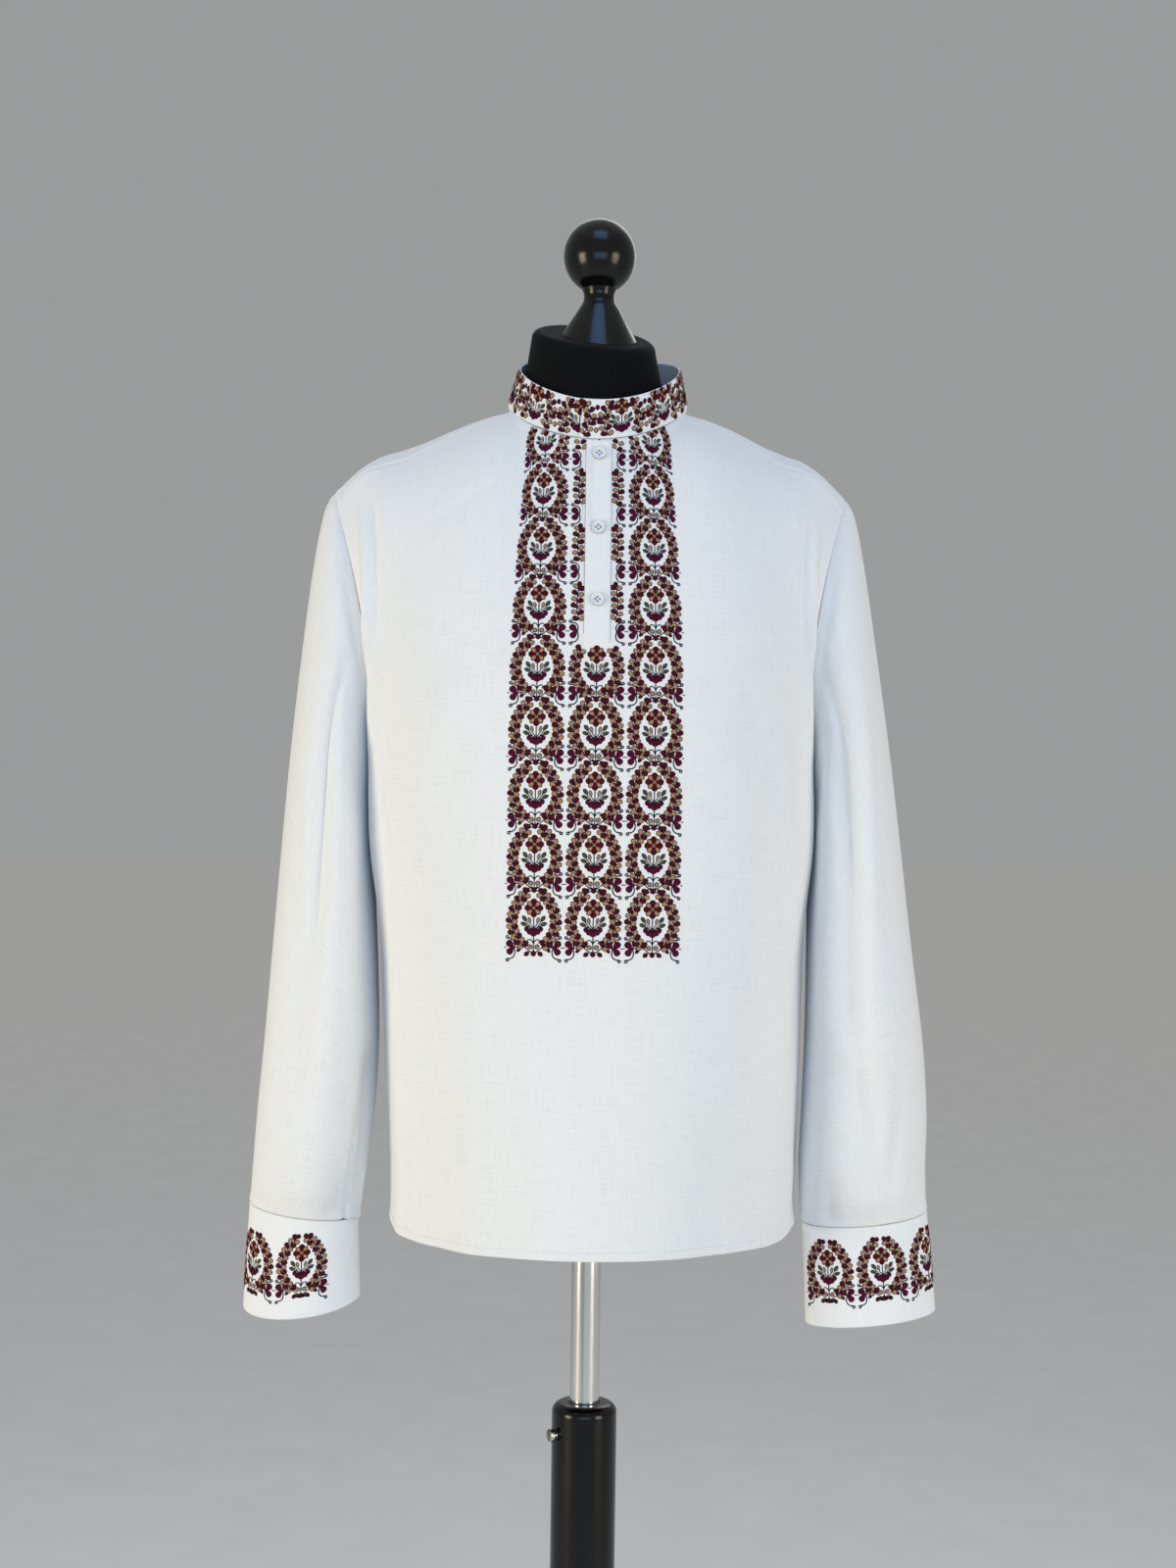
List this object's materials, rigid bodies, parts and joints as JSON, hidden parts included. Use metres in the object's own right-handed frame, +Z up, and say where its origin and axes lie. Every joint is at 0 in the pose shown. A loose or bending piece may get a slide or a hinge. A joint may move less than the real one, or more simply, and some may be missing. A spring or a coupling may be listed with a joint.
{
  "type": "vyshyvanka shirt on a limbless dress form stand",
  "caption": "White long-sleeved folk shirt with stand collar, half placket and embroidered front, collar and cuffs, worn by a black limbless dress form on a telescopic stand.",
  "frame": {"origin": "on the floor under the middle of the stand's pole", "axes": "+Z up, -Y the way the shirt's front faces, +X to the right as seen from the front"},
  "size_m": [0.5681, 0.356, 1.594],
  "materials": {
    "shirt_cloth": "fine white plain-weave cotton, soft matt",
    "button": "white, satin",
    "form_cloth": "black stretch cover, matt",
    "lacquer": "turned wood under gloss black lacquer",
    "black_metal": "steel under gloss black powder coat",
    "chrome": "polished"
  },
  "bodies": {
    "stand": {"base": "black_metal", "column": "black_metal", "clamp_screw": "chrome"},
    "mast": {"pole": "chrome"},
    "bust": {"form_torso": "form_cloth", "finial": "lacquer", "front": "shirt_cloth", "back": "shirt_cloth", "sleeve_left": "shirt_cloth", "sleeve_right": "shirt_cloth", "cuff_left": "shirt_cloth", "cuff_right": "shirt_cloth", "collar": "shirt_cloth", "placket": "shirt_cloth", "placket_under": "shirt_cloth", "button_1": "button", "button_2": "button", "button_3": "button", "cuff_button_left": "button", "cuff_button_right": "button"}
  },
  "joints": [
    {"name": "height", "type": "slide", "parent": "stand", "child": "mast", "axis": [0, 0, 1], "range_m": [-0.2, 0.2]},
    {"name": "swivel", "type": "hinge", "parent": "mast", "child": "bust", "pos_m": [0, 0, 0.9], "axis": [0, 0, 1], "continuous": true}
  ]
}
